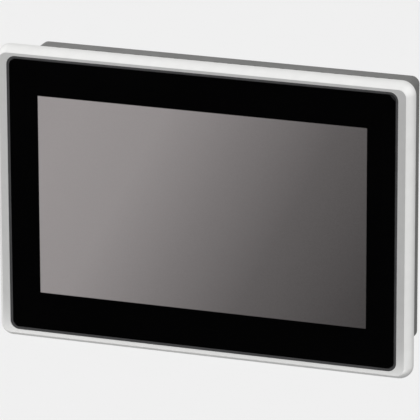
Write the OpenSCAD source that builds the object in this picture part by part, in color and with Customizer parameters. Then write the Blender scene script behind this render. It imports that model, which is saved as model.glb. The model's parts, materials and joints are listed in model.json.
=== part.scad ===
// Panel-mounted operator terminal with a glass touch front.
// A die-cast front frame carries the bonded glass and the display.
// A folded steel housing covers the electronics.
// Units are millimetres: X to the right seen from the front, Y to the rear, Z up.
// The origin is the centre of the front frame on its rear face, the plane that seats on the control panel.

/* [Front frame] */
// Width of the cover glass
glass_w = 178.6; // [178:0.1:179.4]
// Height of the cover glass
glass_h = 124.8; // [124.4:0.1:126]
// Thickness of the cover glass
glass_t = 1.8; // [1.1:0.1:1.8]
// Corner radius of the cover glass
glass_r = 2.8; // [2:0.1:4]
// Width of the seal between the glass and the frame
seal_w = 1.25; // [0.8:0.05:1.5]
// Flat lip of the frame beside the glass
lip_side = 3.5; // [3:0.1:4]
// Flat lip of the frame above the glass
lip_top = 1.3; // [1:0.1:2]
// Flat lip of the frame below the glass
lip_bottom = 1.75; // [1.5:0.05:2.5]
// Thickness of the front frame
frame_t = 6.2; // [6:0.1:8]
// How far the curved flank reaches out beyond the lip's edge
flank = 2.65; // [2:0.05:3]
// Corner radius at the lip's edge
lip_r = 3.6; // [3:0.1:5]

/* [Display] */
// Width of the visible picture area
screen_w = 152.4; // [150:0.1:153]
// Height of the visible picture area
screen_h = 91.44; // [88:0.01:92]
// Sideways offset of the picture from the glass centre
screen_x = 0.35; // [-0.5:0.05:0.5]
// Upward offset of the picture from the glass centre
screen_up = 0.65; // [-0.5:0.05:0.8]
// Width of the display module
module_w = 165; // [164:0.1:165.4]
// Height of the display module
module_h = 104; // [103:0.1:104.2]

/* [Rear housing] */
// Width of the rear housing
housing_w = 176.9; // [176.4:0.1:177.4]
// Height of the rear housing
housing_h = 120.8; // [120.4:0.1:121.4]
// Depth of the rear housing behind the panel plane
housing_depth = 31.5; // [30.5:0.5:40]
// Thickness of the housing's steel sheet
sheet_t = 1.2; // [1:0.1:1.2]
// Corner radius of the housing
housing_r = 3.5; // [3:0.1:4.5]
// Radius of the bent edges round the rear wall
bend_r = 1.5; // [1.2:0.1:2]
// Number of air slots in the top wall
top_vents = 26; // [8:2:26]
// Number of air slots in each row of the rear wall
rear_vents = 20; // [8:1:22]

/* [Terminals] */
// Spacing of the power terminals
pole_pitch = 5.08; // [5:0.01:5.1]
// How far a clamp cage rises when its screw is tightened
cage_travel = 1.4; // [1:0.1:1.4]
// Travel of the control button
button_travel = 0.5; // [0.2:0.1:0.5]
// Travel of a selector slider
slider_travel = 1.6; // [1.2:0.1:1.6]

/* [Hidden] */
$fn = 48;

cut = 1; // how far a cutter runs past the face it cuts

// Front: the glass sits higher than the frame's centre because the lower lip is wider than the upper one.
glass_up = (lip_bottom - lip_top) / 2;
glass_front = -frame_t;
glass_back = glass_front + glass_t;
tape_t = 0.2;
ledge = glass_back + tape_t;
seal_sink = 0.35;
recess_w = glass_w + 2 * seal_w;
recess_h = glass_h + 2 * seal_w;
lip_w = recess_w + 2 * lip_side;
lip_h = recess_h + lip_top + lip_bottom;
flank_r = (pow(flank, 2) + pow(frame_t, 2)) / (2 * flank);
flank_root = 1;
bay_r = 1.5;

// Pocket in the frame's rear face that locates the housing's front edge
housing_sink = 0.8;
pocket_gap = 0.3;

// Panel gasket, drawn compressed flush with the seat
gasket_band = 3;
gasket_gap = 1.75;
gasket_deep = 1.2;
gasket_relief = 0.05;
gasket_in_w = housing_w + 2 * gasket_gap;
gasket_in_h = housing_h + 2 * gasket_gap;
gasket_out_w = gasket_in_w + 2 * gasket_band;
gasket_out_h = gasket_in_h + 2 * gasket_band;

// Display stack, centred on the picture
display_z = glass_up + screen_up;
bay_w = module_w + 1.4;
bay_h = module_h + 1.4;
sensor_w = module_w - 1;
sensor_h = module_h - 1;
sensor_t = 0.7;
skin_t = 0.4;
module_front = glass_back + sensor_t;
module_t = 8;
module_back = module_front + module_t;
cell_front = module_front + skin_t;
cell_t = 1.6;
cell_w = module_w - 3;
cell_h = module_h - 3.4;
films_front = cell_front + cell_t;
films_t = 0.8;
guide_t = 2.6;
guide_front = films_front + films_t;
guide_back = guide_front + guide_t;
pocket_w = module_w - 4.6;
pocket_h = module_h - 5;
guide_h = pocket_h - 4;
led_bar_h = 2.4;

// Chassis and boards
chassis_t = 1;
chassis_back = module_back + chassis_t;
chassis_w = housing_w - 2 * sheet_t - 0.9;
chassis_h = housing_h - 2 * sheet_t - 1;
chassis_window = 34;
chassis_window_xs = [-45, 45];
boss_d = 5.6;
boss_blind = 2.5; // how far a boss's thread goes on into the frame
boss_xs = [-60, 0, 60];
bay_top = display_z + bay_h / 2;
bay_bottom = display_z - bay_h / 2;
boss_zs = [bay_bottom - 3.5, bay_top + 3];
chassis_thread_d = 2.5;
board_front = 11.5;
board_t = 1.6;
board_back = board_front + board_t;
board_w = 157;
board_top = 52;
board_bottom = -57.6;
board_h = board_top - board_bottom;
board_mid = (board_top + board_bottom) / 2;
standoff_spots = [[-72, 44], [0, 44], [72, 44], [-72, -26], [8, -22], [72, -26]];
standoff_af = 5.5;
m3_d = 3;
m3_clear = 3.2;

// Screws: length under the head, head diameter, head height
chassis_screw = [6, 4.7, 1.6];
board_screw = [6, 5.6, 2];
housing_screw = [7, 5.6, 1.9];

// Housing
housing_z = glass_up;
wall_x = housing_w / 2;
wall_top = housing_z + housing_h / 2;
wall_bottom = housing_z - housing_h / 2;
inner_bottom = wall_bottom + sheet_t;
inner_back = housing_depth - sheet_t;
pillar_spots = [
    for (sx = [-1, 1], sz = [-1, 1]) [sx * (wall_x - 5.2), housing_z + sz * (housing_h / 2 - 5.8)]
];
pillar_af = 5.5;
pillar_thread_l = 8;
hex_reach = 2 / sqrt(3); // corner-to-corner width of a hexagon one unit across its flats

// Bracket slots: two in the top wall and two in the bottom wall, where the panel clamps hook in
bracket_spacing = 90;
bracket_y = 8;
bracket_slot_w = 3.2;
bracket_slot_l = 10;

// Type plate on the rear wall
plate_w = 64;
plate_h = 34;
plate_t = 0.3;
plate_x = 32;

// Air slots
vent_w = 2.2;
top_vent_pitch = 6.2;
top_vent_y = [12, 24];
rear_vent_pitch = 6.4;
rear_vent_rows = [[26, 46], [-46, -30]];

// Clearance on each side of a connector in its opening
opening_gap = 0.2;

// Connectors along the lower edge of the main board, their X centres
power_x = -66;
earth_x = -48;
serial_x = -22;
selector_x = 3.5;
ethernet_x = 24;
usb_x = 46;
button_x = 62;
light_x = 71.5;
light_y = board_back + 3;
light_d = 3;
light_fit = 0.05;
light_collar_d = 4.6;

// Power terminal: header on the board, plug pulled off downwards
poles = [-1, 0, 1];
plug_y = board_back + 4.5;
header_w = 17.3;
header_t = 9;
header_deep = 12;
header_cavity = 8.5;
header_cavity_w = 16;
header_cavity_t = 7.6;
pin_t = 1;
nose_w = 15.6;
nose_t = 7.2;
nose_l = 8.2;
head_gap = 0.4;
head_l = 10.9;
head_w = 16;
head_front = plug_y - 5.4;
head_back = plug_y + 6.2;
clamp_z = wall_bottom - 6.1;
cage_w = 4;
cage_l = 4.6;
cage_low = plug_y - 3.1;
cage_high = plug_y + 2.1;
mouth_w = 2.7;
mouth_low = plug_y - 2.4;
mouth_high = plug_y + 1;
bar_w = 2.2;
bar_low = plug_y + 0.2;
bar_t = 0.7;
sleeve_w = 2.4;
sleeve_bore = 1.2;
sleeve_z = [wall_bottom + 0.2, wall_bottom + 7.6];
clamp_head_seat = plug_y + 4.4;
clamp_head_d = 4.2;
clamp_head_t = 1.3;
running_gap = 0.05;

// Serial connector
serial_y = board_back + 6.25;
jack_spacing = 24.99;
jack_af = 4.8;
jack_l = 5;
jack_thread_d = 2.84;
jack_shank_d = 2.8;
jack_clear_d = 3.3;
jack_floor = 0.6; // solid length left above the thread
d_shell_w = 16.3;
d_shell_h = 7.9;
d_shell_reach = 4.8;
d_skin = 0.4;
d_flange_w = 30.8;
d_flange_h = 12.5;
d_flange_back = inner_bottom + 1;
d_face = wall_bottom - d_shell_reach;
contact_pitch = 2.77;
contact_row = 1.42;
contact_d = 1.7;
contact_bore = 1.05;
contact_l = 7;

// Network and USB sockets
ethernet_w = 16;
ethernet_t = 13.5;
ethernet_deep = 21;
jack_mouth_w = 11.9;
jack_mouth_y = [board_back + 3, board_back + 9.9];
jack_mouth_deep = 13.5;
jack_key_w = 6.4; // wide and narrow steps of the keyway that takes the plug's latch
jack_key_y = [board_back + 9, board_back + 11.5];
jack_latch_w = 3.2;
jack_latch_y = [board_back + 9, board_back + 12.6];
jack_latch_deep = 8;
jack_contacts = 8;
jack_contact_pitch = 1.02;
jack_contact_w = 0.4;
jack_contact_t = 0.3;
jack_contact_l = 7;
jack_contact_slant = 16;
usb_w = 13.2;
usb_ys = [board_back + 0.5, board_back + 6.3];
usb_skin = 0.3;
usb_deep = 14;
usb_tongue_w = 11.1;
usb_tongue_ys = [usb_ys[0] + 3.2, usb_ys[0] + 5];
usb_tongue_zs = [wall_bottom + 1.2, wall_bottom + 12];
usb_block_z = wall_bottom + 11.5;

// Card socket in the right-hand wall
card_z = [-7.2, 21.2];
card_t = 2.9;
card_x0 = 57.5;
card_x1 = wall_x - sheet_t - 0.85;
card_slot_z = [-5.2, 19.2];
card_slot_y = [board_back + 0.3, board_back + 2.6];

// Earth stud
earth_y = 20;
earth_d = 4;
earth_l = 8.5;
earth_groove = [4.3, 4.9];
earth_head_d = 8;
earth_head_t = 1.2;
earth_flange_d = 9.6;
earth_flange_t = 0.9;
earth_nut_af = 7;

// Button and selector
button_y = board_back + 3;
button_d = 3.6;
button_gap = 0.3;
button_neck = inner_bottom - 0.1;
stem_d = 2.4;
stem_end_gap = 0.1;
switch_bore = 2.3;
switch_face = inner_bottom + 0.45;
selector_face = inner_bottom + 0.2;
selector_w = 7;
selector_t = 5.6;
selector_deep = 4;
switch_deep = 3.5;
switch_w = 6;
selector_window_w = 6.4;
selector_window = [board_back + 0.8, board_back + 4.8];
slider_track = [board_back + 1.2, board_back + 4.5];
slider_gap = 0.1;
slider_w = 1.1;
slider_pitch = 2.54;

// ---------- shared shapes ----------

// Flat rectangle with round corners
module rounded(w, h, r) {
    square([w - 2 * r, h], center = true);
    square([w, h - 2 * r], center = true);
    for (sx = [-1, 1], sy = [-1, 1])
        translate([sx * (w / 2 - r), sy * (h / 2 - r)]) circle(r = r);
}

// Upright slab with round corners, from depth y0 to depth y1
module slab(w, h, r, y0, y1, x = 0, z = 0)
    translate([x, y1, z]) rotate([90, 0, 0]) linear_extrude(y1 - y0) rounded(w, h, r);

// Box given by its limits on each axis
module block(xs, ys, zs)
    translate([xs[0], ys[0], zs[0]]) cube([xs[1] - xs[0], ys[1] - ys[0], zs[1] - zs[0]]);

// Round or polygonal bar along Y
module rod_y(d, y0, y1, x, z, sides = $fn)
    translate([x, y0, z]) rotate([-90, 0, 0]) cylinder(d = d, h = y1 - y0, $fn = sides);

// Round or polygonal bar along Z
module rod_z(d, z0, z1, x, y, sides = $fn)
    translate([x, y, z0]) cylinder(d = d, h = z1 - z0, $fn = sides);

// Limits of a width centred on a place
function about(centre, width) = [centre - width / 2, centre + width / 2];

// Pan-head screw with a cross recess, its head towards the rear.
// Its size is the length under the head, then the head's diameter and height.
module pan_screw(x, z, seat, thread_d, size) {
    length = size[0];
    head_d = size[1];
    head_t = size[2];
    recess = head_t * 0.6;
    difference() {
        union() {
            rod_y(head_d, seat, seat + head_t, x, z);
            rod_y(thread_d, seat - length, seat, x, z);
        }
        for (turn = [0, 90])
            translate([x, seat + head_t - recess, z]) rotate([0, turn, 0])
                translate([-head_d * 0.3, 0, -head_d * 0.08])
                    cube([head_d * 0.6, recess + cut, head_d * 0.16]);
    }
}

// ---------- front ----------

// Half profile of the frame's curved flank: x outwards from the lip's edge, y towards the rear
module flank_profile()
    intersection() {
        translate([flank - flank_r, 0]) circle(r = flank_r);
        translate([-flank_root, -frame_t]) square([flank + 2 * flank_root, frame_t]);
    }

module flank_side(reach, length)
    translate([reach, 0, -length / 2]) linear_extrude(length) flank_profile();

module flank_corner()
    translate([lip_w / 2 - lip_r, 0, lip_h / 2 - lip_r]) rotate([90, 0, 0])
        rotate_extrude(angle = 90) translate([lip_r, 0]) mirror([0, 1]) flank_profile();

module flank_ring() {
    for (turn = [0, 180]) {
        rotate([0, turn, 0]) flank_side(lip_w / 2, lip_h - 2 * lip_r);
        rotate([0, turn + 90, 0]) flank_side(lip_h / 2, lip_w - 2 * lip_r);
    }
    for (mx = [0, 1], mz = [0, 1])
        mirror([mx, 0, 0]) mirror([0, 0, mz]) flank_corner();
}

// Band that runs round the housing, from depth y0 to depth y1
module gasket_ring(y0, y1)
    difference() {
        slab(gasket_out_w, gasket_out_h, housing_r + gasket_gap + gasket_band, y0, y1, 0, housing_z);
        slab(gasket_in_w, gasket_in_h, housing_r + gasket_gap, y0 - cut, y1 + cut, 0, housing_z);
    }

module frame_ring()
    difference() {
        union() {
            slab(lip_w, lip_h, lip_r, glass_front, 0);
            flank_ring();
        }
        slab(recess_w, recess_h, glass_r + seal_w, glass_front - cut, ledge, 0, glass_up);
        slab(bay_w, bay_h, bay_r, ledge - cut, cut, screen_x, display_z);
        slab(housing_w + 2 * pocket_gap, housing_h + 2 * pocket_gap, housing_r + pocket_gap,
             -housing_sink, cut, 0, housing_z);
        gasket_ring(-gasket_deep, cut);
    }

module front_frame()
    color("gainsboro") difference() {
        union() {
            frame_ring();
            for (x = boss_xs, z = boss_zs) rod_y(boss_d, -housing_sink - cut, module_back, x, z);
        }
        for (x = boss_xs, z = boss_zs) rod_y(chassis_thread_d, -boss_blind, module_back + cut, x, z);
    }

module cover_glass()
    color("black") slab(glass_w, glass_h, glass_r, glass_front, glass_back, 0, glass_up);

module glass_seal()
    color("dimgray") difference() {
        slab(recess_w, recess_h, glass_r + seal_w, glass_front + seal_sink, ledge, 0, glass_up);
        slab(glass_w, glass_h, glass_r, glass_front, ledge + cut, 0, glass_up);
    }

module glass_adhesive()
    color("black") difference() {
        slab(glass_w - 2, glass_h - 2, glass_r - 1, glass_back, ledge, 0, glass_up);
        slab(bay_w + 1, bay_h + 1, bay_r, glass_back - cut, ledge + cut, screen_x, display_z);
    }

module panel_gasket()
    color("black") gasket_ring(-gasket_deep, -gasket_relief);

// ---------- touch sensor ----------

flex_t = 0.2;
flex_z = bay_bottom + 0.25;
touch_flex_x = [-44, -18];
touch_board_x = [-50, -14];
touch_board_z = [-49, -33];
touch_board_back = chassis_back + 1.2;
touch_flex_front = glass_back + 0.3;
touch_flex_lap = 3; // length of the tail that lies on the board
touch_chip_x = [-36, -28];
touch_chip_z = [-43, -35];

module touch_sensor()
    color("lightsteelblue")
        slab(sensor_w, sensor_h, 1, glass_back, module_front, screen_x, display_z);

module touch_flex()
    color("darkorange") {
        block(touch_flex_x, [touch_flex_front, touch_flex_front + flex_t],
              [flex_z, display_z - sensor_h / 2]);
        block(touch_flex_x, [touch_flex_front, touch_board_back + flex_t], [flex_z, flex_z + flex_t]);
        block(touch_flex_x, [touch_board_back, touch_board_back + flex_t],
              [flex_z, touch_board_z[0] + touch_flex_lap]);
    }

module touch_board()
    color("seagreen") {
        block(touch_board_x, [chassis_back, touch_board_back], touch_board_z);
        block(touch_chip_x, [touch_board_back - 0.1, touch_board_back + 1], touch_chip_z);
    }

// ---------- display module ----------

display_flex_x = [6, 34];
display_flex_front = cell_front + 0.7;
display_flex_end = -46.5;
display_socket_z = [-50, -45];
socket_front = board_front - 1;

module display_bezel()
    color("silver") difference() {
        slab(module_w, module_h, 1, module_front, module_back - 2, screen_x, display_z);
        slab(module_w - 2 * skin_t, module_h - 2 * skin_t, 0.8, cell_front, module_back, screen_x, display_z);
        slab(screen_w + 2.4, screen_h + 2.4, 0.5, module_front - cut, cell_front + cut, screen_x, display_z);
        block([display_flex_x[0] - 1, display_flex_x[1] + 1], [cell_front + 0.3, module_back],
              [display_z - module_h / 2 - cut, display_z - module_h / 2 + cut]);
    }

module lcd_cell()
    color("darkslategray") slab(cell_w, cell_h, 0.6, cell_front, films_front, screen_x, display_z);

module diffuser_films()
    color("whitesmoke")
        slab(pocket_w - 0.4, pocket_h - 0.4, 0.6, films_front, guide_front, screen_x, display_z);

module light_guide()
    color("aliceblue")
        slab(pocket_w - 0.8, guide_h, 0.4, guide_front, guide_back,
             screen_x, display_z + (pocket_h - guide_h) / 2 - 0.4);

module backlight_strip()
    color("lemonchiffon")
        block(about(screen_x, pocket_w - 8), [guide_front + 0.1, guide_back],
              [display_z - pocket_h / 2 + 0.3, display_z - pocket_h / 2 + 0.3 + led_bar_h]);

module display_tray()
    color("white") difference() {
        slab(module_w - 2 * skin_t - 0.2, module_h - 2 * skin_t - 0.2, 0.7, films_front, module_back,
             screen_x, display_z);
        slab(pocket_w, pocket_h, 0.8, films_front - cut, guide_back, screen_x, display_z);
    }

module display_flex()
    color("darkorange") {
        block(display_flex_x, [display_flex_front, display_flex_front + flex_t],
              [flex_z, display_z - cell_h / 2]);
        block(display_flex_x, [display_flex_front, socket_front], [flex_z, flex_z + flex_t]);
        block(display_flex_x, [socket_front - flex_t, socket_front], [flex_z, display_flex_end]);
    }

// ---------- chassis ----------

module chassis_plate()
    color("lightgray") difference() {
        slab(chassis_w, chassis_h, 2, module_back, chassis_back, 0, housing_z);
        for (x = boss_xs, z = boss_zs)
            rod_y(chassis_thread_d + 0.3, module_back - cut, chassis_back + cut, x, z);
        for (xs = [touch_flex_x, display_flex_x])
            block([xs[0] - 1, xs[1] + 1], [module_back - cut, chassis_back + cut],
                  [flex_z - 0.9, flex_z + 1.2]);
        for (x = chassis_window_xs)
            slab(chassis_window, chassis_window, 6, module_back - cut, chassis_back + cut, x, 10);
    }

module chassis_screws()
    color("silver") for (x = boss_xs, z = boss_zs)
        pan_screw(x, z, chassis_back, chassis_thread_d, chassis_screw);

module board_standoffs()
    color("silver") for (spot = standoff_spots)
        difference() {
            rod_y(standoff_af * hex_reach, chassis_back, board_front, spot[0], spot[1], 6);
            rod_y(m3_d, chassis_back - cut, board_front + cut, spot[0], spot[1]);
        }

module board_screws()
    color("silver") for (spot = standoff_spots)
        pan_screw(spot[0], spot[1], board_back, m3_d, board_screw);

module housing_pillars()
    color("silver") for (spot = pillar_spots)
        difference() {
            rod_y(pillar_af * hex_reach, chassis_back, inner_back, spot[0], spot[1], 6);
            rod_y(m3_d, inner_back - pillar_thread_l, inner_back + cut, spot[0], spot[1]);
        }

// ---------- rear housing ----------

module bracket_slot(x, z)
    for (end = [-1, 1]) {
        rod_z(bracket_slot_w, z - 2 * cut, z + 2 * cut,
              x + end * (bracket_slot_l - bracket_slot_w) / 2, bracket_y);
        block(about(x, bracket_slot_l - bracket_slot_w), about(bracket_y, bracket_slot_w),
              [z - 2 * cut, z + 2 * cut]);
    }

module vent_row(count, pitch, ys, zs)
    for (i = [0 : count - 1])
        block(about((i - (count - 1) / 2) * pitch, vent_w), ys, zs);

// Openings in the bottom wall, one for each connector
module bottom_openings() {
    wall = [wall_bottom - cut, inner_bottom + cut];
    block(about(power_x, header_w + 2 * opening_gap),
          [board_back, board_back + header_t + opening_gap], wall);
    block(about(serial_x, d_shell_w + 4 * opening_gap), about(serial_y, d_shell_h + 4 * opening_gap), wall);
    for (side = [-1, 1])
        rod_z(jack_clear_d, wall[0], wall[1], serial_x + side * jack_spacing / 2, serial_y);
    block(about(selector_x, selector_window_w), selector_window, wall);
    block(about(ethernet_x, ethernet_w + 2 * opening_gap),
          [board_back, board_back + ethernet_t + opening_gap], wall);
    block(about(usb_x, usb_w + 2 * opening_gap),
          [usb_ys[0] - opening_gap, usb_ys[1] + opening_gap], wall);
    rod_z(button_d + 2 * button_gap, wall[0], wall[1], button_x, button_y);
    rod_z(light_d + 2 * light_fit, wall[0], wall[1], light_x, light_y);
    rod_z(earth_d, wall[0], wall[1], earth_x, earth_y);
}

// Outer shape of the tub: round upright edges, and bent edges round the rear wall
module tub_block() {
    bent_l = housing_depth + housing_sink + 2 * bend_r;
    intersection() {
        slab(housing_w, housing_h, housing_r, -housing_sink, housing_depth, 0, housing_z);
        translate([0, housing_depth - bent_l / 2, housing_z]) {
            rotate([90, 0, 90]) linear_extrude(housing_w + 2 * cut, center = true)
                rounded(bent_l, housing_h, bend_r);
            linear_extrude(housing_h + 2 * cut, center = true) rounded(housing_w, bent_l, bend_r);
        }
    }
}

module rear_housing()
    color("darkgray") difference() {
        tub_block();
        slab(housing_w - 2 * sheet_t, housing_h - 2 * sheet_t, housing_r - sheet_t,
             -housing_sink - cut, inner_back, 0, housing_z);
        for (side = [-1, 1], z = [wall_bottom, wall_top]) bracket_slot(side * bracket_spacing / 2, z);
        vent_row(top_vents, top_vent_pitch, top_vent_y, [wall_top - 2 * sheet_t, wall_top + cut]);
        for (zs = rear_vent_rows)
            vent_row(rear_vents, rear_vent_pitch, [inner_back - cut, housing_depth + cut], zs);
        for (spot = pillar_spots) rod_y(m3_clear, inner_back - cut, housing_depth + cut, spot[0], spot[1]);
        block([wall_x - 2 * sheet_t, wall_x + cut],
              [card_slot_y[0] - opening_gap, card_slot_y[1] + opening_gap],
              [card_slot_z[0] - 2 * opening_gap, card_slot_z[1] + 2 * opening_gap]);
        bottom_openings();
    }

module housing_screws()
    color("silver") for (spot = pillar_spots)
        pan_screw(spot[0], spot[1], housing_depth, m3_d, housing_screw);

module type_plate()
    color("silver") slab(plate_w, plate_h, 2, housing_depth, housing_depth + plate_t, plate_x, 0);

// ---------- main board ----------

module main_board()
    color("darkgreen") difference() {
        union() {
            slab(board_w, board_h, 1, board_front, board_back, 0, board_mid);
            block([board_w / 2 - cut, card_x1], [board_front, board_back], [card_z[0] - 1, card_z[1] + 1]);
        }
        for (spot = standoff_spots) rod_y(m3_clear, board_front - cut, board_back + cut, spot[0], spot[1]);
    }

module display_connector()
    color("ivory")
        block([display_flex_x[0] - 2, display_flex_x[1] + 2], [socket_front, board_front], display_socket_z);

processor_w = 27;
pad_w = 26;
chip_t = 1.8;
pad_t = 1;
chip_spot = [-8, 10];
sink_w = 40;
sink_base = 2.5;
sink_front = board_back + chip_t + pad_t;
sink_fins = 9;
fin_t = 1.4;
fin_reach = 10; // fin height, measured from the base's front face
memory_w = 11;
memory_h = 10;
memory_t = 1.1;
memory_x = -44;
memory_zs = [-2, 12, 26];
capacitor_d = 8;
capacitor_l = 10;
capacitor_spots = [[-68, 4], [-68, 16], [-56, -28], [-45, -28]];

module processor()
    color("dimgray")
        slab(processor_w, processor_w, 0.5, board_back, board_back + chip_t, chip_spot[0], chip_spot[1]);

module thermal_pad()
    color("lightpink")
        slab(pad_w, pad_w, 0.5, board_back + chip_t, sink_front, chip_spot[0], chip_spot[1]);

module heat_sink()
    color("slategray") {
        slab(sink_w, sink_w, 1, sink_front, sink_front + sink_base, chip_spot[0], chip_spot[1]);
        for (i = [0 : sink_fins - 1])
            block(about(chip_spot[0] + (i - (sink_fins - 1) / 2) * (sink_w - fin_t) / (sink_fins - 1), fin_t),
                  [sink_front, sink_front + fin_reach], about(chip_spot[1], sink_w - 2));
    }

module memory_chips()
    color("dimgray") for (z = memory_zs)
        slab(memory_w, memory_h, 0.4, board_back, board_back + memory_t, memory_x, z);

module capacitors()
    color("silver") for (spot = capacitor_spots)
        rod_y(capacitor_d, board_back, board_back + capacitor_l, spot[0], spot[1]);

battery_spot = [38, -6];
cell_d = 20;
cell_seat = board_back + 1.2;
cell_back = cell_seat + 3.2;
holder_d = 23.4;
holder_back = board_back + 4.6;
holder_notch_w = 8; // notch through the rim, for pushing the cell out
holder_notch_y = board_back + 2.4;

module battery_holder()
    color("black") difference() {
        rod_y(holder_d, board_back, holder_back, battery_spot[0], battery_spot[1]);
        rod_y(cell_d + 0.4, cell_seat, holder_back + cut, battery_spot[0], battery_spot[1]);
        block(about(battery_spot[0], holder_notch_w), [holder_notch_y, holder_back + cut],
              [battery_spot[1], battery_spot[1] + cell_d]);
    }

module coin_cell()
    color("silver") rod_y(cell_d, cell_seat, cell_back, battery_spot[0], battery_spot[1]);

// ---------- data connectors ----------

module ethernet_socket()
    color("silver") difference() {
        block(about(ethernet_x, ethernet_w), [board_back, board_back + ethernet_t],
              [wall_bottom, wall_bottom + ethernet_deep]);
        block(about(ethernet_x, jack_mouth_w), jack_mouth_y,
              [wall_bottom - cut, wall_bottom + jack_mouth_deep]);
        block(about(ethernet_x, jack_key_w), jack_key_y,
              [wall_bottom - cut, wall_bottom + jack_mouth_deep]);
        block(about(ethernet_x, jack_latch_w), jack_latch_y,
              [wall_bottom - cut, wall_bottom + jack_latch_deep]);
    }

module ethernet_contacts()
    color("gold") for (i = [0 : jack_contacts - 1])
        translate([ethernet_x + (i - (jack_contacts - 1) / 2) * jack_contact_pitch - jack_contact_w / 2,
                   jack_mouth_y[0] + 0.1, wall_bottom + 2.6])
            rotate([-jack_contact_slant, 0, 0]) cube([jack_contact_w, jack_contact_t, jack_contact_l]);

module usb_shell()
    color("silver") difference() {
        block(about(usb_x, usb_w), usb_ys, [wall_bottom, wall_bottom + usb_deep]);
        block(about(usb_x, usb_w - 2 * usb_skin), [usb_ys[0] + usb_skin, usb_ys[1] - usb_skin],
              [wall_bottom - cut, wall_bottom + usb_deep - usb_skin]);
    }

module usb_tongue()
    color("white") {
        block(about(usb_x, usb_tongue_w), usb_tongue_ys, usb_tongue_zs);
        block(about(usb_x, usb_w - 2 * usb_skin), [usb_ys[0] + usb_skin, usb_ys[1] - usb_skin],
              [usb_block_z, wall_bottom + usb_deep - usb_skin]);
    }

// D-shaped outline with sides that lean in by ten degrees
module d_outline(w, h) {
    r = 1.4;
    lean = h * tan(10);
    hull() for (side = [-1, 1]) {
        translate([side * (w / 2 - r), h / 2 - r]) circle(r = r, $fn = 32);
        translate([side * (w / 2 - r - lean), r - h / 2]) circle(r = r, $fn = 32);
    }
}

module d_bar(w, h, z0, z1)
    translate([serial_x, serial_y, z0]) linear_extrude(z1 - z0) d_outline(w, h);

module at_each_contact()
    for (row = [-1, 1], i = [0 : 3 + (row + 1) / 2])
        translate([serial_x + (i - (3 + (row + 1) / 2) / 2) * contact_pitch, serial_y + row * contact_row, 0])
            children();

module serial_shell()
    color("silver") difference() {
        union() {
            block(about(serial_x, d_flange_w), about(serial_y, d_flange_h), [inner_bottom, d_flange_back]);
            d_bar(d_shell_w, d_shell_h, d_face, d_flange_back);
        }
        d_bar(d_shell_w - 2 * d_skin, d_shell_h - 2 * d_skin, d_face - cut, d_flange_back + cut);
        for (side = [-1, 1])
            rod_z(jack_clear_d, inner_bottom - cut, d_flange_back + cut,
                  serial_x + side * jack_spacing / 2, serial_y);
    }

module serial_insert()
    color("black") difference() {
        union() {
            d_bar(d_shell_w - 2 * d_skin, d_shell_h - 2 * d_skin, d_face + 0.2, d_flange_back);
            block(about(serial_x, 20), [board_back, board_back + 12], [d_flange_back, d_flange_back + 9]);
        }
        at_each_contact() translate([0, 0, d_face - cut]) cylinder(d = contact_d, h = contact_l + 2 * cut);
    }

module serial_contacts()
    color("gold") at_each_contact() translate([0, 0, d_face + 0.6])
        difference() {
            cylinder(d = contact_d, h = contact_l);
            translate([0, 0, -cut]) cylinder(d = contact_bore, h = contact_l - cut);
        }

module serial_jack_nuts()
    color("silver") for (side = [-1, 1]) {
        x = serial_x + side * jack_spacing / 2;
        difference() {
            union() {
                rod_z(jack_af * hex_reach, wall_bottom - jack_l, wall_bottom, x, serial_y, 6);
                rod_z(jack_shank_d, wall_bottom - jack_floor, inner_bottom + 2.5, x, serial_y);
            }
            rod_z(jack_thread_d, wall_bottom - jack_l - cut, wall_bottom - jack_floor, x, serial_y);
        }
    }

module card_socket()
    color("silver") difference() {
        block([card_x0, card_x1], [board_back, board_back + card_t], card_z);
        block([card_x0 + 1.5, card_x1 + cut], card_slot_y, card_slot_z);
    }

// ---------- power terminal ----------

function pole_x(pole) = power_x + pole * pole_pitch;

module power_header()
    color("darkgreen") difference() {
        block(about(power_x, header_w), [board_back, board_back + header_t],
              [wall_bottom, wall_bottom + header_deep]);
        block(about(power_x, header_cavity_w), about(plug_y, header_cavity_t),
              [wall_bottom - cut, wall_bottom + header_cavity]);
        for (pole = poles)
            block(about(pole_x(pole), pin_t), about(plug_y, pin_t),
                  [wall_bottom + header_cavity - cut, wall_bottom + header_deep + cut]);
    }

module power_pins()
    color("silver") for (pole = poles) {
        block(about(pole_x(pole), pin_t), about(plug_y, pin_t),
              [wall_bottom + 1.5, wall_bottom + header_deep + pin_t]);
        block(about(pole_x(pole), pin_t), [board_back, plug_y + pin_t / 2],
              [wall_bottom + header_deep, wall_bottom + header_deep + pin_t]);
    }

module power_plug()
    color("limegreen") difference() {
        union() {
            block(about(power_x, nose_w), about(plug_y, nose_t),
                  [wall_bottom - head_gap - cut, wall_bottom + nose_l]);
            block(about(power_x, head_w), [head_front, head_back],
                  [wall_bottom - head_gap - head_l, wall_bottom - head_gap]);
        }
        for (pole = poles) {
            x = pole_x(pole);
            block(about(x, cage_w + 0.3), [cage_low - 0.1, cage_high + cage_travel + 0.1],
                  about(clamp_z, cage_l + 0.4));
            block(about(x, mouth_w), [mouth_low, mouth_high], [clamp_z - 8, clamp_z]);
            block(about(x, bar_w + 0.1), [bar_low - running_gap, bar_low + bar_t + running_gap],
                  [clamp_z - cage_l / 2 - 0.2, wall_bottom + 0.3]);
            block(about(x, sleeve_w + 0.1), about(plug_y, sleeve_w + 0.1),
                  [sleeve_z[0] - 0.1, wall_bottom + nose_l + cut]);
            rod_y(m3_clear + 0.1, cage_high, clamp_head_seat, x, clamp_z);
            rod_y(clamp_head_d + 0.4, clamp_head_seat - running_gap, head_back + cut, x, clamp_z);
        }
    }

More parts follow.
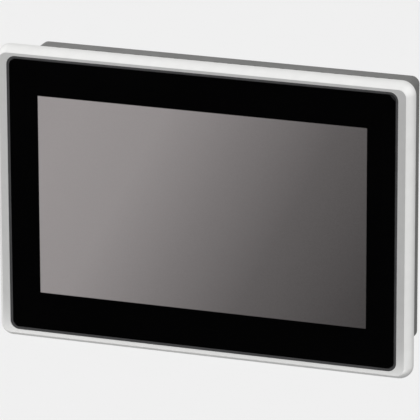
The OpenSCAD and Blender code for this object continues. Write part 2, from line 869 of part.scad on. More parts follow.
// Bar through each clamp cage, ending in a square sleeve round the header pin
module plug_contacts()
    color("gold") for (pole = poles)
        difference() {
            union() {
                block(about(pole_x(pole), bar_w), [bar_low, bar_low + bar_t],
                      [clamp_z - cage_l / 2, sleeve_z[0] + 0.4]);
                block(about(pole_x(pole), sleeve_w), about(plug_y, sleeve_w), sleeve_z);
            }
            block(about(pole_x(pole), sleeve_bore), about(plug_y, sleeve_bore),
                  [sleeve_z[0] + 0.4, sleeve_z[1] + cut]);
        }

module clamp_screw(pole)
    color("silver") difference() {
        union() {
            rod_y(m3_d, bar_low + bar_t + running_gap, clamp_head_seat, pole_x(pole), clamp_z);
            rod_y(clamp_head_d, clamp_head_seat, clamp_head_seat + clamp_head_t, pole_x(pole), clamp_z);
        }
        block(about(pole_x(pole), clamp_head_d + cut),
              [clamp_head_seat + 0.5, clamp_head_seat + clamp_head_t + cut],
              about(clamp_z, 0.8));
    }

module clamp_cage(pole)
    color("gainsboro") difference() {
        block(about(pole_x(pole), cage_w), [cage_low, cage_high], about(clamp_z, cage_l));
        block(about(pole_x(pole), mouth_w), [mouth_low, mouth_high], about(clamp_z, cage_l + cut));
        rod_y(m3_d + 2 * running_gap, mouth_high - cage_travel - cut, cage_high + cut,
              pole_x(pole), clamp_z);
    }

module clamp_screw_left() { clamp_screw(-1); }
module clamp_screw_middle() { clamp_screw(0); }
module clamp_screw_right() { clamp_screw(1); }
module clamp_cage_left() { clamp_cage(-1); }
module clamp_cage_middle() { clamp_cage(0); }
module clamp_cage_right() { clamp_cage(1); }

// ---------- controls ----------

module button_switch()
    color("dimgray") difference() {
        block(about(button_x, switch_w), [board_back, board_back + switch_w],
              [switch_face, switch_face + switch_deep]);
        rod_z(stem_d + 2 * running_gap, switch_face - cut, switch_face + switch_bore, button_x, button_y);
    }

module control_button()
    color("black") {
        rod_z(button_d, wall_bottom - 0.3, button_neck, button_x, button_y);
        rod_z(stem_d, button_neck, switch_face + switch_bore - stem_end_gap - button_travel,
              button_x, button_y);
    }

module selector_body()
    color("crimson") difference() {
        block(about(selector_x, selector_w), [board_back, board_back + selector_t],
              [selector_face, selector_face + selector_deep]);
        for (side = [-1, 1])
            block(about(selector_x + side * slider_pitch / 2, slider_w + 2 * slider_gap), slider_track,
                  [selector_face - cut, selector_face + 1.6]);
    }

module selector_slider(side)
    color("white")
        block(about(selector_x + side * slider_pitch / 2, slider_w),
              [slider_track[0] + slider_gap, slider_track[1] - slider_gap - slider_travel],
              [selector_face - 0.8, selector_face + 1.5]);

module selector_slider_1() { selector_slider(-1); }
module selector_slider_2() { selector_slider(1); }

module status_light()
    color("honeydew") {
        rod_z(light_d, wall_bottom - 0.2, inner_bottom + 4, light_x, light_y);
        rod_z(light_collar_d, inner_bottom, inner_bottom + 1, light_x, light_y);
    }

// Earth stud, pressed in from inside: the groove parts the nut's stretch from the free stretch
module earth_stud()
    color("gold") difference() {
        union() {
            rod_z(earth_d, wall_bottom - earth_l, inner_bottom, earth_x, earth_y);
            rod_z(earth_head_d, inner_bottom, inner_bottom + earth_head_t, earth_x, earth_y);
        }
        difference() {
            rod_z(earth_d + 2, wall_bottom - earth_groove[1], wall_bottom - earth_groove[0],
                  earth_x, earth_y);
            rod_z(earth_d - 0.8, wall_bottom - earth_l, wall_bottom, earth_x, earth_y);
        }
    }

module earth_nut()
    color("silver") difference() {
        union() {
            rod_z(earth_flange_d, wall_bottom - earth_flange_t, wall_bottom, earth_x, earth_y);
            rod_z(earth_nut_af * hex_reach, wall_bottom - earth_groove[0] + 0.1, wall_bottom - earth_flange_t,
                  earth_x, earth_y, 6);
        }
        rod_z(earth_d, wall_bottom - earth_l, wall_bottom + cut, earth_x, earth_y);
    }

front_frame();
cover_glass();
glass_seal();
glass_adhesive();
panel_gasket();
touch_sensor();
touch_flex();
touch_board();
display_bezel();
lcd_cell();
diffuser_films();
light_guide();
backlight_strip();
display_tray();
display_flex();
chassis_plate();
chassis_screws();
board_standoffs();
board_screws();
housing_pillars();
rear_housing();
housing_screws();
type_plate();
main_board();
display_connector();
processor();
thermal_pad();
heat_sink();
memory_chips();
capacitors();
battery_holder();
coin_cell();
ethernet_socket();
ethernet_contacts();
usb_shell();
usb_tongue();
serial_shell();
serial_insert();
serial_contacts();
serial_jack_nuts();
power_header();
power_pins();
power_plug();
plug_contacts();
clamp_screw_left();
clamp_screw_middle();
clamp_screw_right();
clamp_cage_left();
clamp_cage_middle();
clamp_cage_right();
card_socket();
button_switch();
control_button();
selector_body();
selector_slider_1();
selector_slider_2();
status_light();
earth_stud();
earth_nut();
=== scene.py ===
import json
import math

import bmesh
import bpy
from mathutils import Matrix, Vector


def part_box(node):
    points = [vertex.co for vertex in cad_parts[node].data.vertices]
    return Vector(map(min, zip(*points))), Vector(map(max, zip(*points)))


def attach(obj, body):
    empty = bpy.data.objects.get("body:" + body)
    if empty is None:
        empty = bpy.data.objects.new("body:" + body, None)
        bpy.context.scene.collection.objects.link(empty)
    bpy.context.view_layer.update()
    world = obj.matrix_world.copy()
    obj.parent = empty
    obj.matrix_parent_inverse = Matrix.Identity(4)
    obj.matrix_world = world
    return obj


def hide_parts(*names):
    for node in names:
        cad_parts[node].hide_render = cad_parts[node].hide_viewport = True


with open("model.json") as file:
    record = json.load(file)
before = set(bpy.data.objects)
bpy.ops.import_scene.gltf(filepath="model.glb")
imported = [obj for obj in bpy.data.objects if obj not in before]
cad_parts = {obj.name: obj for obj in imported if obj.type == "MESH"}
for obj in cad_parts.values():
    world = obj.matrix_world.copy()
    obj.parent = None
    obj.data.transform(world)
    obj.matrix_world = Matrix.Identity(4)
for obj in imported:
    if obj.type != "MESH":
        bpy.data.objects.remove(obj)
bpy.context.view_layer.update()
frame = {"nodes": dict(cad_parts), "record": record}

MM = 0.001
NODES = frame["nodes"]

# The 7 inch wide display behind the glass: its visible area, centred on the display cell.
SCREEN_W = 152.4 * MM
SCREEN_H = 91.44 * MM

# The switched-off display's grey carries a painted reflection: a soft sheen of light, painted into the
# colour, falls from the upper left to the lower right. Positions and levels.
# The sheen's slant is how much of the fall runs downwards, as a part of what runs across.
SCREEN_GREYS_AND_SHEEN = ((0.1, 0.375), (0.3, 0.34), (0.5, 0.231), (0.7, 0.137), (1.0, 0.067))
SHEEN_SLANT = 0.32
# Green and blue are this part of red.
SCREEN_WARMTH = 0.93
SCREEN_EDGE = 0.12 * MM
PRINT_BLACK = (0.0004, 0.0004, 0.0005, 1)


def centre(node):
    low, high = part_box(node)
    return (low + high) / 2


# ---------- camera, floor and light ----------

# The camera faces the glass's centre from this distance, moved to the right and up in its own plane.
CAMERA_AZIMUTH = math.radians(19.58)
CAMERA_ELEVATION = math.radians(17.83)
CAMERA_ROLL = math.radians(-0.21)
CAMERA_DISTANCE = 2.1653
CAMERA_LENS_MM = 422.9
CAMERA_RIGHT = 4.3 * MM
CAMERA_RISE = 1.36 * MM

# The sensor width that the lens length refers to.
SENSOR_WIDTH_MM = 36

FLOOR_DROP = 1.6
FLOOR_SIZE = 40.0

# The black card that the glass mirrors towards the camera.
FLAG_WIDTH = 0.34
FLAG_HEIGHT = 0.26
FLAG_DISTANCE = 1.25

# The near lights for the frame: a small pale table under its front edge, and a card for its left-hand lip.
TABLE_WIDTH = 0.24
TABLE_DEPTH = 0.022
TABLE_GAP = 4 * MM
TABLE_SHIFT = 10 * MM
TABLE_RADIANCE = 0.6
CARD_WIDTH = 0.1
CARD_HEIGHT = 0.2
CARD_DISTANCE = 0.25
CARD_INSET = 4 * MM
CARD_RADIANCE = 0.12


def view_axes():
    """Unit vectors from the object to the camera, and to the picture's right and top."""
    back = Vector((
        math.sin(CAMERA_AZIMUTH) * math.cos(CAMERA_ELEVATION),
        -math.cos(CAMERA_AZIMUTH) * math.cos(CAMERA_ELEVATION),
        math.sin(CAMERA_ELEVATION),
    ))
    level = Vector((math.cos(CAMERA_AZIMUTH), math.sin(CAMERA_AZIMUTH), 0))
    upright = back.cross(level)
    right = level * math.cos(CAMERA_ROLL) + upright * math.sin(CAMERA_ROLL)
    return back, right, back.cross(right)


def add_camera():
    back, right, top = view_axes()
    glass_low, glass_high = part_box("cover_glass")
    aim = Vector((
        (glass_low.x + glass_high.x) / 2,
        glass_low.y,
        (glass_low.z + glass_high.z) / 2,
    ))
    data = bpy.data.cameras.new("camera")
    data.lens = CAMERA_LENS_MM
    data.sensor_width = SENSOR_WIDTH_MM
    camera = bpy.data.objects.new("camera", data)
    place = aim + right * CAMERA_RIGHT + top * CAMERA_RISE + back * CAMERA_DISTANCE
    turn = Matrix((right, top, back)).transposed()
    camera.matrix_world = Matrix.Translation(place) @ turn.to_4x4()
    bpy.context.scene.collection.objects.link(camera)
    bpy.context.scene.camera = camera


def flat_card(name, width, height):
    """A single rectangle in its own XY plane, for the floor and the flag."""
    mesh = bpy.data.meshes.new(name)
    corners = [(x * width / 2, y * height / 2, 0) for x, y in ((-1, -1), (1, -1), (1, 1), (-1, 1))]
    mesh.from_pydata(corners, [], [(0, 1, 2, 3)])
    card = bpy.data.objects.new(name, mesh)
    bpy.context.scene.collection.objects.link(card)
    return card


def add_floor():
    """A pale floor well below the object, which hangs by its panel mount."""
    floor = flat_card("floor", FLOOR_SIZE, FLOOR_SIZE)
    floor.location.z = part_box("front_frame")[0].z - FLOOR_DROP
    floor.data.materials.append(MATERIALS["floor"])
    floor.visible_glossy = False


def mirrored_view():
    """The direction from the front face in which it mirrors the camera."""
    back = view_axes()[0]
    return Vector((-back.x, back.y, -back.z))


def add_flag():
    """A black card that only reflections see, where the glass mirrors the camera, so that it reads black."""
    flag = flat_card("flag", FLAG_WIDTH, FLAG_HEIGHT)
    flag.location = centre("cover_glass") + mirrored_view() * FLAG_DISTANCE
    flag.rotation_euler = mirrored_view().to_track_quat("Z", "Y").to_euler()
    flag.data.materials.append(MATERIALS["flag"])
    for ray in ("camera", "diffuse", "transmission", "shadow", "volume_scatter"):
        setattr(flag, "visible_" + ray, False)


def add_frame_light(name, place, facing, width, height, radiance):
    """A near soft card of light for the metal frame only, which shines along its facing direction."""
    data = bpy.data.lights.new(name, "AREA")
    data.shape = "RECTANGLE"
    data.size = width
    data.size_y = height
    data.energy = radiance * math.pi * width * height
    light = bpy.data.objects.new(name, data)
    light.location = place
    light.rotation_euler = (-facing).to_track_quat("Z", "Y").to_euler()
    light.visible_camera = False
    bpy.context.scene.collection.objects.link(light)
    receivers = bpy.data.collections.new(name + "_receivers")
    receivers.objects.link(NODES["front_frame"])
    light.light_linking.receiver_collection = receivers


def add_frame_lights():
    """A pale table below the frame lifts its lower lip, and a card at the left lifts the left-hand lip."""
    low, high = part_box("front_frame")
    middle = (low + high) / 2
    table_place = Vector((middle.x - TABLE_SHIFT, low.y - TABLE_DEPTH / 2, low.z - TABLE_GAP))
    add_frame_light("table_bounce", table_place, Vector((0, 0, 1)), TABLE_WIDTH, TABLE_DEPTH, TABLE_RADIANCE)
    left_lip = Vector((low.x + CARD_INSET, low.y, middle.z))
    card_place = left_lip + mirrored_view() * CARD_DISTANCE
    add_frame_light("left_card", card_place, -mirrored_view(), CARD_WIDTH, CARD_HEIGHT, CARD_RADIANCE)


def add_world():
    """A soft light tent: bright overhead and at both sides, dimmer below and behind.

    Each part of the light runs from low to high as its axis of the sky direction runs from start to end.
    """
    world = bpy.data.worlds.new("studio")
    bpy.context.scene.world = world
    world.use_nodes = True
    tree = world.node_tree
    place = tree.nodes.new("ShaderNodeTexCoord")
    parts = tree.nodes.new("ShaderNodeSeparateXYZ")
    tree.links.new(place.outputs["Generated"], parts.inputs[0])
    across = tree.nodes.new("ShaderNodeMath")
    across.operation = "ABSOLUTE"
    tree.links.new(parts.outputs["X"], across.inputs[0])
    level = None
    for axis, start, end, low, high in (
            (parts.outputs["Z"], -0.35, 0.95, 0.41, 0.98),
            (across.outputs[0], 0.3, 0.9, 0.0, 0.42),
            (parts.outputs["Y"], 0.3, 0.95, 0.0, -0.05)):
        span = tree.nodes.new("ShaderNodeMapRange")
        tree.links.new(axis, span.inputs["Value"])
        span.inputs["From Min"].default_value = start
        span.inputs["From Max"].default_value = end
        span.inputs["To Min"].default_value = low
        span.inputs["To Max"].default_value = high
        total = tree.nodes.new("ShaderNodeMath")
        total.operation = "ADD"
        tree.links.new(span.outputs["Result"], total.inputs[0])
        total.inputs[1].default_value = 0.0
        if level:
            tree.links.new(level, total.inputs[1])
        level = total.outputs[0]
    tree.links.new(level, tree.nodes["Background"].inputs["Strength"])
    tree.nodes["Background"].inputs["Color"].default_value = (1, 1, 1, 1)


# ---------- materials ----------

class Shader:
    """A node material on one Principled shader, with short ways to add procedural detail."""

    def __init__(self, name, **sockets):
        self.material = bpy.data.materials.new(name)
        self.material.use_nodes = True
        self.tree = self.material.node_tree
        self.surface = self.tree.nodes["Principled BSDF"]
        for socket, value in sockets.items():
            self.surface.inputs[socket.replace("_", " ")].default_value = value
        self.place = self.tree.nodes.new("ShaderNodeTexCoord").outputs["Object"]

    def node(self, kind, inputs=(), **settings):
        made = self.tree.nodes.new("ShaderNode" + kind)
        for name, value in settings.items():
            setattr(made, name, value)
        for socket, value in dict(inputs).items():
            if isinstance(value, bpy.types.NodeSocket):
                self.tree.links.new(value, made.inputs[socket])
            else:
                made.inputs[socket].default_value = value
        return made

    def noise(self, size, stretch=(1, 1, 1), detail=3.0):
        """Noise from 0 to 1 whose features are about size metres across, stretched along each axis."""
        scaled = self.node("Mapping", {"Vector": self.place, "Scale": [1 / (size * s) for s in stretch]})
        return self.node("TexNoise", {"Vector": scaled.outputs[0], "Scale": 1.0, "Detail": detail}).outputs[0]

    def cells(self, size):
        """A random grey level for each crystal of about size metres."""
        pattern = self.node("TexVoronoi", {"Vector": self.place, "Scale": 1 / size})
        return self.node("SeparateColor", {0: pattern.outputs["Color"]}).outputs[0]

    def span(self, value, low, high, start=0.3, end=0.7):
        settings = {"Value": value, "From Min": start, "From Max": end, "To Min": low, "To Max": high}
        return self.node("MapRange", settings).outputs[0]

    def maths(self, operation, *values):
        return self.node("Math", dict(enumerate(values)), operation=operation).outputs[0]

    def blend(self, factor, first, second):
        """Colour that runs from first to second as factor runs from 0 to 1."""
        mix = self.node("Mix", data_type="RGBA")
        for socket, value in zip((mix.inputs[0], mix.inputs[6], mix.inputs[7]), (factor, first, second)):
            if isinstance(value, bpy.types.NodeSocket):
                self.tree.links.new(value, socket)
            else:
                socket.default_value = value
        return mix.outputs[2]

    def drive(self, socket, value):
        self.tree.links.new(value, self.surface.inputs[socket])

    def bump(self, height, depth):
        made = self.node("Bump", {"Height": height, "Distance": depth, "Strength": 1.0})
        self.drive("Normal", made.outputs[0])


# A fine grain moves a finish's roughness by this part of it, up and down.
ROUGHNESS_SPREAD = 0.15


def shade(colour, factor):
    return tuple(min(c * factor, 1.0) for c in colour) + (1.0,)


def grained(name, colour, roughness, vary=0.08, blotch=9 * MM, grain=0.3 * MM, depth=0.01 * MM,
            stretch=(1, 1, 1), **sockets):
    """A finish with soft blotches of colour and a fine grain in its roughness and relief."""
    shader = Shader(name, **sockets)
    shader.drive("Base Color", shader.blend(
        shader.span(shader.noise(blotch, stretch), 0, 1), shade(colour, 1 - vary), shade(colour, 1 + vary)))
    fine = shader.noise(grain, stretch, detail=2.0)
    smoothest, roughest = roughness * (1 - ROUGHNESS_SPREAD), roughness * (1 + ROUGHNESS_SPREAD)
    shader.drive("Roughness", shader.span(fine, smoothest, roughest))
    shader.bump(fine, depth)
    return shader.material


def metal(name, colour, roughness, **options):
    return grained(name, colour, roughness, Metallic=1.0, **options)


def sheet_metal(name, colour, roughness):
    """Zinc-coated sheet: pale crystals, rolling marks along its length, and faint handling blotches."""
    crystal_size, blotch_size, roll_size, roll_depth = 2.4 * MM, 22 * MM, 0.35 * MM, 0.006 * MM
    crystal_share = 0.45
    darkest, palest = shade(colour, 0.88), shade(colour, 1.12)
    shader = Shader(name, Metallic=1.0)
    crystals = shader.span(shader.cells(crystal_size), 0.0, crystal_share, 0.0, 1.0)
    blotches = shader.span(shader.noise(blotch_size), 0.0, 1 - crystal_share)
    shader.drive("Base Color", shader.blend(shader.maths("ADD", crystals, blotches), darkest, palest))
    rolled = shader.noise(roll_size, (30, 30, 1), detail=2.0)
    rolled_part = shader.span(rolled, roughness * 0.85, roughness * 1.1)
    crystal_part = shader.span(crystals, 0.0, 0.08, 0.0, crystal_share)
    shader.drive("Roughness", shader.maths("ADD", rolled_part, crystal_part))
    shader.bump(rolled, roll_depth)
    return shader.material


def window_mask(shader, edge):
    """1 over the display's visible area and 0 outside it, softened over edge metres."""
    middle = centre("lcd_cell")
    parts = shader.node("SeparateXYZ", {0: shader.place}).outputs
    inside = []
    for axis, mid, size in (("X", middle.x, SCREEN_W), ("Z", middle.z, SCREEN_H)):
        away = shader.maths("ABSOLUTE", shader.maths("SUBTRACT", parts[axis], mid))
        inside.append(shader.span(away, 1.0, 0.0, size / 2 - edge, size / 2 + edge))
    return shader.maths("MULTIPLY", *inside)


def black_glass():
    """Front glass: gloss black print with the switched-off display showing grey through its window, and a
    painted reflection: a sheen of light falling from the upper left to the lower right.
    """
    shader = Shader("black_glass", Roughness=0.05)
    middle = centre("lcd_cell")
    parts = shader.node("SeparateXYZ", {0: shader.place}).outputs
    across = shader.span(parts["X"], 0.0, 1.0, middle.x - SCREEN_W / 2, middle.x + SCREEN_W / 2)
    down = shader.span(parts["Z"], 0.0, 1.0, middle.z + SCREEN_H / 2, middle.z - SCREEN_H / 2)
    # Painted reflection: the window's grey falls diagonally like a soft sheen of light, painted into the base
    # colour.
    total = shader.maths("ADD", across, shader.maths("MULTIPLY", down, SHEEN_SLANT))
    sheen_position = shader.maths("DIVIDE", total, 1 + SHEEN_SLANT)
    ramp = shader.node("ValToRGB", {0: sheen_position})
    while len(ramp.color_ramp.elements) < len(SCREEN_GREYS_AND_SHEEN):
        ramp.color_ramp.elements.new(0.5)
    for element, (position, level) in zip(ramp.color_ramp.elements, SCREEN_GREYS_AND_SHEEN):
        element.position = position
        element.color = (level, level * SCREEN_WARMTH, level * SCREEN_WARMTH, 1)
    mask = window_mask(shader, SCREEN_EDGE)
    speckle_size, speckle_level, wave_size = 0.5 * MM, 0.006, 40 * MM
    speckle = shader.span(shader.noise(speckle_size), -speckle_level, speckle_level)
    panel = shader.node("VectorMath", {0: ramp.outputs[0], 1: speckle}, operation="ADD").outputs[0]
    # panel holds the display's grey together with its painted sheen of light.
    shader.drive("Base Color", shader.blend(mask, PRINT_BLACK, panel))
    shader.drive("Roughness", shader.span(shader.noise(wave_size), 0.04, 0.07))
    return shader.material


def circuit_board(name):
    """Green solder mask with copper tracks that show as slightly paler, raised lines."""
    track_length, track_depth = 6 * MM, 0.03 * MM
    mask_green, track_green = (0.006, 0.075, 0.03, 1), (0.02, 0.14, 0.06, 1)
    shader = Shader(name, Roughness=0.35)
    upright = shader.node("Mapping", {"Vector": shader.place, "Rotation": (math.pi / 2, 0, 0)}).outputs[0]
    weave = shader.node("TexBrick", {
        "Vector": upright, "Scale": 1 / track_length,
        "Mortar Size": 0.03, "Brick Width": 1.3, "Row Height": 0.22})
    tracks = weave.outputs["Fac"]
    shader.drive("Base Color", shader.blend(tracks, mask_green, track_green))
    shader.bump(tracks, track_depth)
    return shader.material


def make_materials():
    """One finish for each material slot of the record, and those of the floor and the flag."""
    return {
        "floor": grained("floor", (0.894, 0.894, 0.894), 0.9, vary=0.002, blotch=0.5, grain=0.05, depth=0.0),
        "flag": grained("flag", (0.0, 0.0, 0.0), 0.9, vary=0.0, depth=0.0),
        "frame_aluminium": metal("frame_aluminium", (0.86, 0.86, 0.85), 0.42, vary=0.02, blotch=6 * MM,
                                 grain=0.22 * MM, depth=0.008 * MM),
        "black_glass": black_glass(),
        "seal_rubber": grained("seal_rubber", (0.05, 0.05, 0.052), 0.6, vary=0.15),
        "gasket_rubber": grained("gasket_rubber", (0.025, 0.025, 0.025), 0.85, vary=0.3,
                                 grain=0.5 * MM, depth=0.08 * MM),
        "black_tape": grained("black_tape", (0.015, 0.015, 0.015), 0.6),
        "sensor_glass": grained("sensor_glass", (0.35, 0.4, 0.44), 0.08, vary=0.03),
        "flex_film": grained("flex_film", (0.55, 0.24, 0.03), 0.3, vary=0.12, blotch=2 * MM),
        "board_green": circuit_board("board_green"),
        "display_steel": metal("display_steel", (0.6, 0.61, 0.62), 0.28, stretch=(20, 1, 1)),
        "lcd_glass": grained("lcd_glass", (0.06, 0.065, 0.07), 0.1, vary=0.05),
        "film_white": grained("film_white", (0.85, 0.85, 0.83), 0.55, vary=0.02),
        "guide_acrylic": grained("guide_acrylic", (0.8, 0.86, 0.88), 0.12, vary=0.02),
        "white_plastic": grained("white_plastic", (0.78, 0.77, 0.73), 0.42, vary=0.04),
        "housing_steel": sheet_metal("housing_steel", (0.205, 0.205, 0.2), 0.36),
        "chassis_steel": sheet_metal("chassis_steel", (0.5, 0.51, 0.51), 0.36),
        "screw_steel": metal("screw_steel", (0.66, 0.67, 0.68), 0.24, vary=0.06, blotch=1.2 * MM,
                             grain=0.12 * MM, depth=0.004 * MM),
        "chip_black": grained("chip_black", (0.02, 0.02, 0.021), 0.7, vary=0.15),
        "pad_pink": grained("pad_pink", (0.6, 0.34, 0.38), 0.75),
        "sink_aluminium": metal("sink_aluminium", (0.16, 0.17, 0.19), 0.4, stretch=(1, 1, 20)),
        "can_aluminium": metal("can_aluminium", (0.72, 0.72, 0.73), 0.25),
        "black_plastic": grained("black_plastic", (0.02, 0.02, 0.021), 0.5, vary=0.12, depth=0.02 * MM),
        "contact_gold": metal("contact_gold", (0.83, 0.58, 0.22), 0.22, vary=0.05, blotch=1 * MM,
                              grain=0.1 * MM, depth=0.002 * MM),
        "connector_steel": metal("connector_steel", (0.62, 0.62, 0.61), 0.25, vary=0.05, blotch=3 * MM,
                                 stretch=(1, 1, 12), depth=0.004 * MM),
        "terminal_green": grained("terminal_green", (0.025, 0.27, 0.06), 0.42, vary=0.07, blotch=3 * MM,
                                  grain=0.2 * MM, depth=0.012 * MM),
        "selector_red": grained("selector_red", (0.42, 0.015, 0.02), 0.4, vary=0.06, blotch=2 * MM),
        "button_grey": grained("button_grey", (0.045, 0.045, 0.05), 0.4, vary=0.08, blotch=1 * MM),
        "light_pipe": grained("light_pipe", (0.62, 0.72, 0.62), 0.15, vary=0.04, blotch=1 * MM),
        "stud_brass": metal("stud_brass", (0.72, 0.5, 0.2), 0.26, vary=0.08, blotch=1.5 * MM),
        "plate_foil": metal("plate_foil", (0.7, 0.7, 0.69), 0.34, vary=0.03, stretch=(24, 1, 1),
                            grain=0.2 * MM, depth=0.003 * MM),
        "cell_steel": metal("cell_steel", (0.62, 0.62, 0.61), 0.3, vary=0.05, blotch=2 * MM),
    }


MATERIALS = make_materials()


def dress_nodes():
    """Gives each CAD node its slot's material."""
    for row in frame["record"]["subparts"]:
        node = NODES[row["node"]]
        for material_slot in node.material_slots:
            material_slot.material = MATERIALS[row["material_slot"]]


# ---------- softened edges of CAD nodes ----------

WELD_DISTANCE = 0.002 * MM
EDGE_SEGMENTS = 3
SHARP_ANGLE = math.radians(28)


def soften(node, width):
    """Rounds a CAD node's sharp edges with modifiers and shades it smoothly. Its mesh keeps its shape."""
    piece = NODES[node]
    weld = piece.modifiers.new("weld", "WELD")
    weld.merge_threshold = WELD_DISTANCE
    bevel = piece.modifiers.new("soft_edges", "BEVEL")
    bevel.width = width
    bevel.segments = EDGE_SEGMENTS
    bevel.limit_method = "ANGLE"
    bevel.angle_limit = SHARP_ANGLE
    bevel.miter_outer = "MITER_ARC"
    bevel.face_strength_mode = "FSTR_ALL"
    for polygon in piece.data.polygons:
        polygon.use_smooth = True
    smooth = piece.modifiers.new("normals", "WEIGHTED_NORMAL")
    smooth.use_face_influence = True


# Edge radii in millimetres. The housing is left out: it is bare sheet with sheared edges.
EDGE_RADII = {
    "front_frame": 0.45,
    "cover_glass": 0.15,
    "glass_seal": 0.15,
    "type_plate": 0.06,
    "power_plug": 0.25,
    "power_header": 0.15,
    "ethernet_socket": 0.2,
    "usb_shell": 0.12,
    "usb_tongue": 0.12,
    "serial_shell": 0.12,
    "serial_jack_nuts": 0.15,
    "selector_body": 0.1,
    "selector_slider_1": 0.12,
    "selector_slider_2": 0.12,
    "status_light": 0.3,
    "earth_nut": 0.15,
    "housing_screws": 0.18,
    "card_socket": 0.08,
    "serial_contacts": 0.08,
    "ethernet_contacts": 0.04,
    "clamp_screw_left": 0.1,
    "clamp_screw_middle": 0.1,
    "clamp_screw_right": 0.1,
    "clamp_cage_left": 0.12,
    "clamp_cage_middle": 0.12,
    "clamp_cage_right": 0.12,
}


# ---------- small pieces that the CAD solids leave plain ----------
# Sizes in this section are in millimetres.

def add_piece(name, shape, slot, body="unit"):
    """Turns a bmesh into a piece that rides on a body and has a material slot's finish."""
    mesh = bpy.data.meshes.new(name)
    shape.to_mesh(mesh)
    shape.free()
    mesh.materials.append(MATERIALS[slot])
    piece = bpy.data.objects.new(name, mesh)
    bpy.context.scene.collection.objects.link(piece)
    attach(piece, body)
    return piece


def add_bar(shape, low, high, edge):
    """Adds a bar with rounded edges to a bmesh, given by its lowest and highest corners."""
    low = Vector(low) * MM
    size = Vector(high) * MM - low
    corners = bmesh.ops.create_cube(shape, size=1.0)["verts"]
    for corner in corners:
        corner.co = Vector([low[i] + (corner.co[i] + 0.5) * size[i] for i in range(3)])
    edges = {side for corner in corners for side in corner.link_edges}
    bmesh.ops.bevel(shape, geom=list(edges), offset=edge * MM, segments=2, profile=0.5, affect="EDGES")


def add_ring(shape, middle, z, radii):
    """Adds a level ring of vertices round an upright axis, with one radius for each vertex."""
    step = 2 * math.pi / len(radii)
    return [
        shape.verts.new(Vector((
            middle.x + radius * math.cos(step * i), middle.y + radius * math.sin(step * i), z)) * MM)
        for i, radius in enumerate(radii)
    ]


def join_rings(shape, rings):
    """Skins rings from the lowest to the highest and closes both ends."""
    sides = len(rings[0])
    for lower, upper in zip(rings, rings[1:]):
        for i in range(sides):
            after = (i + 1) % sides
            shape.faces.new((lower[i], lower[after], upper[after], upper[i]))
    shape.faces.new(reversed(rings[0]))
    shape.faces.new(rings[-1])


def box_in_mm(node):
    low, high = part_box(node)
    return low / MM, high / MM


def add_usb_contacts():
    """The four contact strips on the tongue of the USB socket."""
    strip_xs = (-3.5, -1.0, 1.0, 3.5)
    strip_w = 1.0
    strip_ends = (2, 10)
    tongue_face = 3.2
    sunk, proud, edge = 0.12, 0.05, 0.05
    low, high = box_in_mm("usb_shell")
    middle = (low.x + high.x) / 2
    shape = bmesh.new()
    for strip_x in strip_xs:
        x = middle + strip_x
        add_bar(shape, (x - strip_w / 2, low.y + tongue_face - sunk, low.z + strip_ends[0]),
                (x + strip_w / 2, low.y + tongue_face + proud, low.z + strip_ends[1]), edge)
    add_piece("usb_contact_strips", shape, "contact_gold")


def add_jack_windows():
    """The two light windows in the network socket's face, one on each side of the plug's keyway."""
    window_x = 5.6
    window_w = 3.4
    below_top = (3.2, 1.0)
    proud, sunk, edge = 0.15, 0.3, 0.1
    low, high = box_in_mm("ethernet_socket")
    middle = (low.x + high.x) / 2
    shape = bmesh.new()
    for side in (-1, 1):
        x = middle + side * window_x
        add_bar(shape, (x - window_w / 2, high.y - below_top[0], low.z - proud),
                (x + window_w / 2, high.y - below_top[1], low.z + sunk), edge)
    add_piece("ethernet_light_windows", shape, "light_pipe")


def add_plug_ribs():
    """Grip ribs on both ends of the terminal plug."""
    ribs = 6
    rib_pitch = 1.5
    rib_t = 0.6
    first_rib = 1.6
    margin = 1.4
    proud, sunk, edge = 0.25, 0.2, 0.12
    low, high = box_in_mm("power_plug")
    shape = bmesh.new()
    for end, outward in ((low.x, -1), (high.x, 1)):
        xs = sorted((end + outward * proud, end - outward * sunk))
        for i in range(ribs):
            z = low.z + first_rib + i * rib_pitch
            add_bar(shape, (xs[0], low.y + margin, z), (xs[1], high.y - margin, z + rib_t), edge)
    add_piece("power_plug_ribs", shape, "terminal_green", "power_plug")


def add_plate_lines():
    """Printed border and ruled fields of the blank type plate."""
    line = 0.3
    inset = 1.2
    split_part = 0.64
    fields = 4
    sunk, proud, edge = 0.05, 0.03, 0.01
    low, high = box_in_mm("type_plate")
    left, right = low.x + inset, high.x - inset
    bottom, top = low.z + inset, high.z - inset
    split = left + (right - left) * split_part
    step = (top - bottom) / fields
    shape = bmesh.new()
    for x, z0, z1 in ((left, bottom, top), (right - line, bottom, top), (split, bottom, top - step)):
        add_bar(shape, (x, high.y - sunk, z0), (x + line, high.y + proud, z1), edge)
    for i, end in enumerate((right, split, split, right, right)):
        z = bottom + step * i
        add_bar(shape, (left, high.y - sunk, z - line / 2), (end, high.y + proud, z + line / 2), edge)
    add_piece("type_plate_lines", shape, "chip_black")


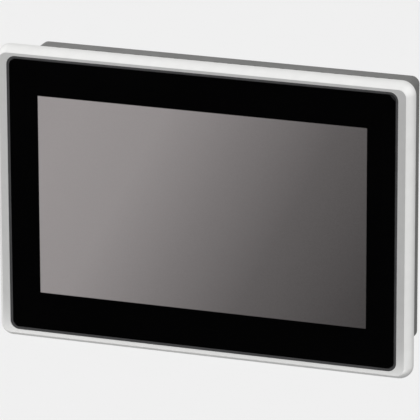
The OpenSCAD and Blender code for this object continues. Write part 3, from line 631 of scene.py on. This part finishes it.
def add_turned_button():
    """The control button as one turned piece: a cap with a rounded rim and a stem with a sharp root."""
    cap_height, rim, stem_radius, chamfer = 1.4, 0.3, 1.2, 0.12
    sides, rim_steps = 48, 6
    low, high = box_in_mm("control_button")
    middle = (low + high) / 2
    radius = (high.x - low.x) / 2
    root = low.z + cap_height
    turns = [math.pi / 2 * i / rim_steps for i in range(rim_steps + 1)]
    profile = [(radius - rim + rim * math.sin(turn), low.z + rim - rim * math.cos(turn)) for turn in turns]
    profile += [(radius, root - chamfer), (radius - chamfer, root), (stem_radius, root),
                (stem_radius, high.z - chamfer), (stem_radius - chamfer, high.z)]
    shape = bmesh.new()
    join_rings(shape, [add_ring(shape, middle, z, [reach] * sides) for reach, z in profile])
    button = add_piece("turned_control_button", shape, "button_grey", "control_button")
    for polygon in button.data.polygons:
        polygon.use_smooth = True
    button.data.set_sharp_from_angle(angle=SHARP_ANGLE)
    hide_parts("control_button")


def thread_radii(up, sides):
    """Radii round the earth stud's M4 thread at a height above its chamfered tip."""
    pitch, root, crest, tip_cut = 0.7, 1.62, 2.0, 0.3
    flank_slope, root_flat = 1.7, 0.3
    radii = []
    for i in range(sides):
        phase = (up / pitch - i / sides) % 1
        ridge = min(1, max(0, flank_slope * abs(2 * phase - 1) - root_flat))
        radii.append(min(root + (crest - root) * ridge, root - tip_cut + up))
    return radii


def add_threaded_stud():
    """The earth stud with its M4 thread cut as a helix, and its head inside the housing."""
    head_radius, head_t, head_edge = 4.0, 1.2, 0.15
    sides, rows_per_mm = 40, 20
    low, high = box_in_mm("earth_stud")
    middle = (low + high) / 2
    head = high.z - head_t
    shank = head - low.z
    rows = round(shank * rows_per_mm)
    shape = bmesh.new()
    ups = [shank * row / rows for row in range(rows + 1)]
    rings = [add_ring(shape, middle, low.z + up, thread_radii(up, sides)) for up in ups]
    for z, radius in ((head, head_radius - head_edge), (head + head_edge, head_radius),
                      (high.z - head_edge, head_radius), (high.z, head_radius - head_edge)):
        rings.append(add_ring(shape, middle, z, [radius] * sides))
    join_rings(shape, rings)
    stud = add_piece("threaded_earth_stud", shape, "stud_brass")
    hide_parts("earth_stud")


add_camera()
add_floor()
add_flag()
add_frame_lights()
add_world()
dress_nodes()
for node, radius in EDGE_RADII.items():
    soften(node, radius * MM)
add_usb_contacts()
add_jack_windows()
add_plug_ribs()
add_plate_lines()
add_turned_button()
add_threaded_stud()

bpy.context.scene.view_settings.view_transform = "Standard"
